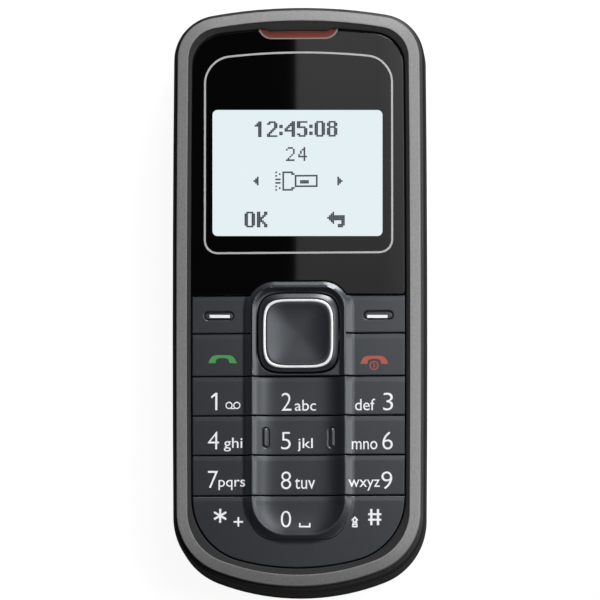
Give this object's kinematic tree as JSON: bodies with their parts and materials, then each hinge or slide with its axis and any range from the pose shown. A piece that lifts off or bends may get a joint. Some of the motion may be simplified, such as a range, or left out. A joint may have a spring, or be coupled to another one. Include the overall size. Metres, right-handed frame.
{
  "type": "feature phone",
  "caption": "Candybar feature phone: satin ring, black window, pressable keypad with a rocking navigation key, sliding battery cover and full internals.",
  "frame": {"origin": "middle of the flat back that the phone lies on", "axes": "+Z out of the display, +Y along the phone towards the earpiece, +X to the right of a reader"},
  "size_m": [0.045, 0.105, 0.0153],
  "materials": {
    "satin_graphite_paint": "satin",
    "black_gloss_pane": "gloss",
    "adhesive_tape": "matt",
    "red_mesh": "satin",
    "foam": "matt",
    "dark_metal": "satin",
    "clear_plastic": "clear",
    "white_plastic": "satin",
    "black_plastic": "fine texture",
    "charcoal_key_plastic": "soft satin",
    "bright_inlay": "polished",
    "silicone": "matt",
    "spring_steel": "satin",
    "green_laminate": "satin",
    "tinned_sheet": "satin",
    "display_glass": "clear",
    "battery_wrap": "satin",
    "dark_mesh": "woven",
    "gold_plate": "bright",
    "motor_steel": "satin",
    "heavy_alloy": "satin"
  },
  "bodies": {
    "housing": {"front_cover": "satin_graphite_paint", "display_window": "black_gloss_pane", "window_adhesive": "adhesive_tape", "earpiece_grille": "red_mesh", "earpiece_gasket": "foam", "earpiece_speaker": "dark_metal", "torch_lens": "clear_plastic", "torch_led": "white_plastic", "rear_housing": "black_plastic", "navigation_surround": "charcoal_key_plastic", "keypad_mat": "silicone", "dome_sheet": "spring_steel", "keypad_lamps": "white_plastic", "circuit_board": "green_laminate", "main_shield": "tinned_sheet", "radio_shield": "tinned_sheet", "processor_chip": "black_plastic", "radio_chip": "black_plastic", "lcd_glass": "display_glass", "lcd_backlight": "white_plastic", "lcd_frame": "tinned_sheet", "battery": "battery_wrap", "battery_connector": "black_plastic", "sim_holder": "tinned_sheet", "charging_socket": "black_plastic", "headset_socket": "black_plastic", "loudspeaker": "dark_metal", "speaker_mesh": "dark_mesh", "speaker_springs": "gold_plate", "antenna": "gold_plate", "antenna_carrier": "white_plastic", "vibration_motor": "motor_steel", "microphone": "motor_steel", "housing_screws": "motor_steel"},
    "battery_cover": {"battery_cover": "black_plastic"},
    "key_soft_left": {"key_soft_left": "charcoal_key_plastic"},
    "key_soft_right": {"key_soft_right": "charcoal_key_plastic"},
    "key_call": {"key_call": "charcoal_key_plastic"},
    "key_end": {"key_end": "charcoal_key_plastic"},
    "key_1": {"key_1": "charcoal_key_plastic"},
    "key_2": {"key_2": "charcoal_key_plastic"},
    "key_3": {"key_3": "charcoal_key_plastic"},
    "key_4": {"key_4": "charcoal_key_plastic"},
    "key_5": {"key_5": "charcoal_key_plastic"},
    "key_6": {"key_6": "charcoal_key_plastic"},
    "key_7": {"key_7": "charcoal_key_plastic"},
    "key_8": {"key_8": "charcoal_key_plastic"},
    "key_9": {"key_9": "charcoal_key_plastic"},
    "key_star": {"key_star": "charcoal_key_plastic"},
    "key_0": {"key_0": "charcoal_key_plastic"},
    "key_hash": {"key_hash": "charcoal_key_plastic"},
    "navigation_plunger": {"navigation_plunger": "silicone"},
    "navigation_pivot": {"navigation_pivot": "white_plastic"},
    "navigation_key": {"navigation_key": "charcoal_key_plastic", "navigation_ring": "bright_inlay"},
    "vibration_weight": {"vibration_weight": "heavy_alloy"}
  },
  "joints": [
    {"name": "battery_cover_slide", "type": "slide", "parent": "housing", "child": "battery_cover", "axis": [0, -1, 0], "range_m": [0, 0.009]},
    {"name": "key_soft_left_press", "type": "slide", "parent": "housing", "child": "key_soft_left", "axis": [0, 0, -1], "range_m": [0, 0.0004], "stiffness_N_per_m": 3000},
    {"name": "key_soft_right_press", "type": "slide", "parent": "housing", "child": "key_soft_right", "axis": [0, 0, -1], "range_m": [0, 0.0004], "stiffness_N_per_m": 3000},
    {"name": "key_call_press", "type": "slide", "parent": "housing", "child": "key_call", "axis": [0, 0, -1], "range_m": [0, 0.0004], "stiffness_N_per_m": 3000},
    {"name": "key_end_press", "type": "slide", "parent": "housing", "child": "key_end", "axis": [0, 0, -1], "range_m": [0, 0.0004], "stiffness_N_per_m": 3000},
    {"name": "key_1_press", "type": "slide", "parent": "housing", "child": "key_1", "axis": [0, 0, -1], "range_m": [0, 0.0004], "stiffness_N_per_m": 3000},
    {"name": "key_2_press", "type": "slide", "parent": "housing", "child": "key_2", "axis": [0, 0, -1], "range_m": [0, 0.0004], "stiffness_N_per_m": 3000},
    {"name": "key_3_press", "type": "slide", "parent": "housing", "child": "key_3", "axis": [0, 0, -1], "range_m": [0, 0.0004], "stiffness_N_per_m": 3000},
    {"name": "key_4_press", "type": "slide", "parent": "housing", "child": "key_4", "axis": [0, 0, -1], "range_m": [0, 0.0004], "stiffness_N_per_m": 3000},
    {"name": "key_5_press", "type": "slide", "parent": "housing", "child": "key_5", "axis": [0, 0, -1], "range_m": [0, 0.0004], "stiffness_N_per_m": 3000},
    {"name": "key_6_press", "type": "slide", "parent": "housing", "child": "key_6", "axis": [0, 0, -1], "range_m": [0, 0.0004], "stiffness_N_per_m": 3000},
    {"name": "key_7_press", "type": "slide", "parent": "housing", "child": "key_7", "axis": [0, 0, -1], "range_m": [0, 0.0004], "stiffness_N_per_m": 3000},
    {"name": "key_8_press", "type": "slide", "parent": "housing", "child": "key_8", "axis": [0, 0, -1], "range_m": [0, 0.0004], "stiffness_N_per_m": 3000},
    {"name": "key_9_press", "type": "slide", "parent": "housing", "child": "key_9", "axis": [0, 0, -1], "range_m": [0, 0.0004], "stiffness_N_per_m": 3000},
    {"name": "key_star_press", "type": "slide", "parent": "housing", "child": "key_star", "axis": [0, 0, -1], "range_m": [0, 0.0004], "stiffness_N_per_m": 3000},
    {"name": "key_0_press", "type": "slide", "parent": "housing", "child": "key_0", "axis": [0, 0, -1], "range_m": [0, 0.0004], "stiffness_N_per_m": 3000},
    {"name": "key_hash_press", "type": "slide", "parent": "housing", "child": "key_hash", "axis": [0, 0, -1], "range_m": [0, 0.0004], "stiffness_N_per_m": 3000},
    {"name": "navigation_select_press", "type": "slide", "parent": "housing", "child": "navigation_plunger", "axis": [0, 0, -1], "range_m": [0, 0.0003], "stiffness_N_per_m": 4000},
    {"name": "navigation_tip_up_down", "type": "hinge", "parent": "navigation_plunger", "child": "navigation_pivot", "pos_m": [0, -0.00605, 0.01238], "axis": [1, 0, 0], "range_deg": [-2.5, 2.5], "stiffness_Nm_per_rad": 0.2},
    {"name": "navigation_tip_left_right", "type": "hinge", "parent": "navigation_pivot", "child": "navigation_key", "pos_m": [0, -0.00605, 0.01238], "axis": [0, 1, 0], "range_deg": [-2.5, 2.5], "stiffness_Nm_per_rad": 0.2},
    {"name": "vibration_weight_spin", "type": "hinge", "parent": "housing", "child": "vibration_weight", "pos_m": [0.0119, 0.0285, 0.0062], "axis": [1, 0, 0], "continuous": true}
  ]
}
